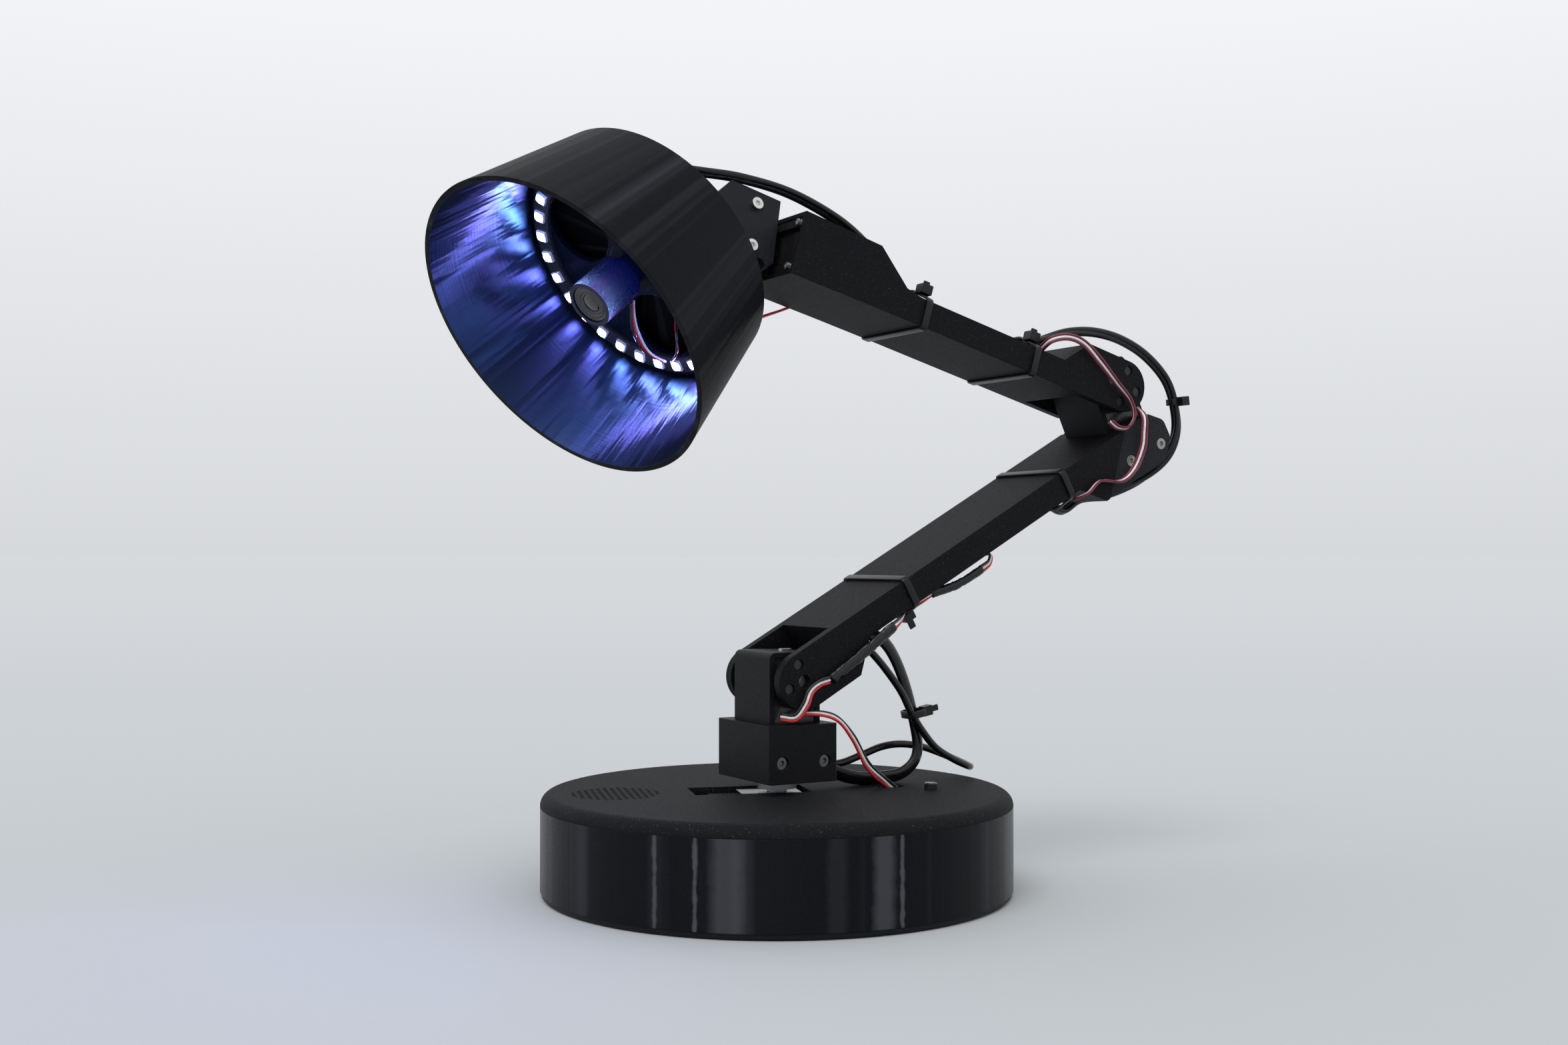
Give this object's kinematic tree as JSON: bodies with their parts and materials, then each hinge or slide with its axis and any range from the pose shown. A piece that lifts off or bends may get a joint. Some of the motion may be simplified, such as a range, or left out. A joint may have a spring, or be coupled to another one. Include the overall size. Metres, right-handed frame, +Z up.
{
  "type": "desk robot arm",
  "caption": "Servo-driven desk lamp arm: round base with turning turret, two hinged links and a rolling conical lamp head with a light ring and a camera.",
  "frame": {"origin": "centre of the base's underside", "axes": "+Z up; +X from the base towards the elbow, in the plane the arm moves in; the lamp hangs on the -X side; the arm's open servo faces are on the -Y side"},
  "size_m": [0.3846, 0.209, 0.3268],
  "materials": {
    "base_lid": "satin, layered print",
    "base_ribbon": "glossy",
    "base_screws": "machined",
    "base_shell": "satin, layered print",
    "board_parts": "matt",
    "board_posts": "machined",
    "bottom_plate": "satin, layered print",
    "button_cap": "satin",
    "button_switch": "semi gloss",
    "camera_body": "anodised",
    "camera_hub": "satin, layered print",
    "camera_lens": "polished",
    "control_board": "board lacquer",
    "dc_inlet": "semi gloss",
    "elbow_bundle": "glossy",
    "elbow_holder": "satin, layered print",
    "elbow_horn": "fine bead blasted",
    "elbow_horn_screws": "black oxide",
    "elbow_pivot_bolt": "machined",
    "elbow_ribbon": "glossy",
    "elbow_servo_case": "fine bead blasted",
    "elbow_servo_covers": "semi gloss",
    "elbow_socket": "matt, layered print",
    "elbow_socket_screws": "machined",
    "head_leads": "glossy",
    "head_mount": "satin, layered print",
    "head_mount_screws": "machined",
    "lamp_plate": "satin, layered print",
    "lamp_wires": "glossy",
    "light_ring": "board lacquer",
    "link_ribbon": "glossy",
    "lower_arm_beam": "satin, layered print",
    "lower_arm_leads": "glossy",
    "lower_arm_ties": "satin nylon",
    "ring_leds": "lit",
    "sensor_lead": "glossy",
    "shade": "satin, layered print",
    "shoulder_holder": "satin, layered print",
    "shoulder_horn": "fine bead blasted",
    "shoulder_horn_screws": "black oxide",
    "shoulder_lead": "glossy",
    "shoulder_pivot_bolt": "machined",
    "shoulder_ribbon": "glossy",
    "shoulder_servo_case": "fine bead blasted",
    "shoulder_servo_covers": "semi gloss",
    "speaker_cone": "matt",
    "speaker_frame": "semi gloss",
    "splices": "glossy heat-shrink",
    "upper_arm_beam": "satin, layered print",
    "upper_arm_leads": "glossy",
    "upper_arm_ties": "satin nylon",
    "wrist_horn": "fine bead blasted",
    "wrist_servo": "semi gloss",
    "wrist_servo_screws": "machined",
    "yaw_box": "satin, layered print",
    "yaw_box_screws": "machined",
    "yaw_horn": "fine bead blasted",
    "yaw_servo_case": "fine bead blasted",
    "yaw_servo_covers": "semi gloss",
    "yaw_servo_screws": "machined"
  },
  "bodies": {
    "base": {"bottom_plate": "bottom_plate", "base_screws": "base_screws", "base_shell": "base_shell", "dc_inlet": "dc_inlet", "base_lid": "base_lid", "speaker_frame": "speaker_frame", "speaker_cone": "speaker_cone", "control_board": "control_board", "board_posts": "board_posts", "board_parts": "board_parts", "button_switch": "button_switch", "yaw_servo_case": "yaw_servo_case", "yaw_servo_covers": "yaw_servo_covers", "yaw_servo_screws": "yaw_servo_screws"},
    "button": {"button_cap": "button_cap"},
    "turret": {"yaw_horn": "yaw_horn", "yaw_box": "yaw_box", "yaw_box_screws": "yaw_box_screws", "shoulder_holder": "shoulder_holder", "shoulder_servo_case": "shoulder_servo_case", "shoulder_servo_covers": "shoulder_servo_covers", "base_ribbon": "base_ribbon"},
    "lower_arm": {"lower_arm_beam": "lower_arm_beam", "shoulder_horn": "shoulder_horn", "shoulder_horn_screws": "shoulder_horn_screws", "shoulder_pivot_bolt": "shoulder_pivot_bolt", "elbow_socket": "elbow_socket", "elbow_socket_screws": "elbow_socket_screws", "elbow_holder": "elbow_holder", "elbow_servo_case": "elbow_servo_case", "elbow_servo_covers": "elbow_servo_covers", "lower_arm_ties": "lower_arm_ties", "lower_arm_leads": "lower_arm_leads", "splices": "splices", "elbow_ribbon": "elbow_ribbon", "shoulder_lead": "shoulder_lead", "sensor_lead": "sensor_lead", "shoulder_ribbon": "shoulder_ribbon"},
    "upper_arm": {"upper_arm_beam": "upper_arm_beam", "elbow_horn": "elbow_horn", "elbow_horn_screws": "elbow_horn_screws", "elbow_pivot_bolt": "elbow_pivot_bolt", "upper_arm_ties": "upper_arm_ties", "upper_arm_leads": "upper_arm_leads", "elbow_bundle": "elbow_bundle", "link_ribbon": "link_ribbon", "wrist_servo": "wrist_servo", "wrist_servo_screws": "wrist_servo_screws"},
    "head": {"wrist_horn": "wrist_horn", "head_mount": "head_mount", "head_mount_screws": "head_mount_screws", "shade": "shade", "lamp_plate": "lamp_plate", "light_ring": "light_ring", "ring_leds": "ring_leds", "lamp_wires": "lamp_wires", "camera_hub": "camera_hub", "camera_body": "camera_body", "camera_lens": "camera_lens", "head_leads": "head_leads"}
  },
  "joints": [
    {"name": "base_yaw", "type": "hinge", "parent": "base", "child": "turret", "pos_m": [0, 0, 0.0497], "axis": [0, 0, 1], "range_deg": [-90, 90], "deforming": ["base_ribbon"]},
    {"name": "shoulder_pitch", "type": "hinge", "parent": "turret", "child": "lower_arm", "pos_m": [0, 0, 0.0937], "axis": [0, 1, 0], "range_deg": [-35, 20], "deforming": ["shoulder_lead", "sensor_lead", "shoulder_ribbon"]},
    {"name": "elbow_pitch", "type": "hinge", "parent": "lower_arm", "child": "upper_arm", "pos_m": [0.1814, 0, 0.231], "axis": [0, 1, 0], "range_deg": [-10, 60], "deforming": ["elbow_bundle", "link_ribbon"]},
    {"name": "wrist_roll", "type": "hinge", "parent": "upper_arm", "child": "head", "pos_m": [-0.00286, 0.01025, 0.28498], "axis": [-0.9613, 0, 0.2756], "range_deg": [-75, 75], "deforming": ["head_leads"]},
    {"name": "button_press", "type": "slide", "parent": "base", "child": "button", "axis": [0, 0, -1], "range_m": [0, 0.001], "stiffness_N_per_m": 400, "springref_m": -0.0005}
  ]
}
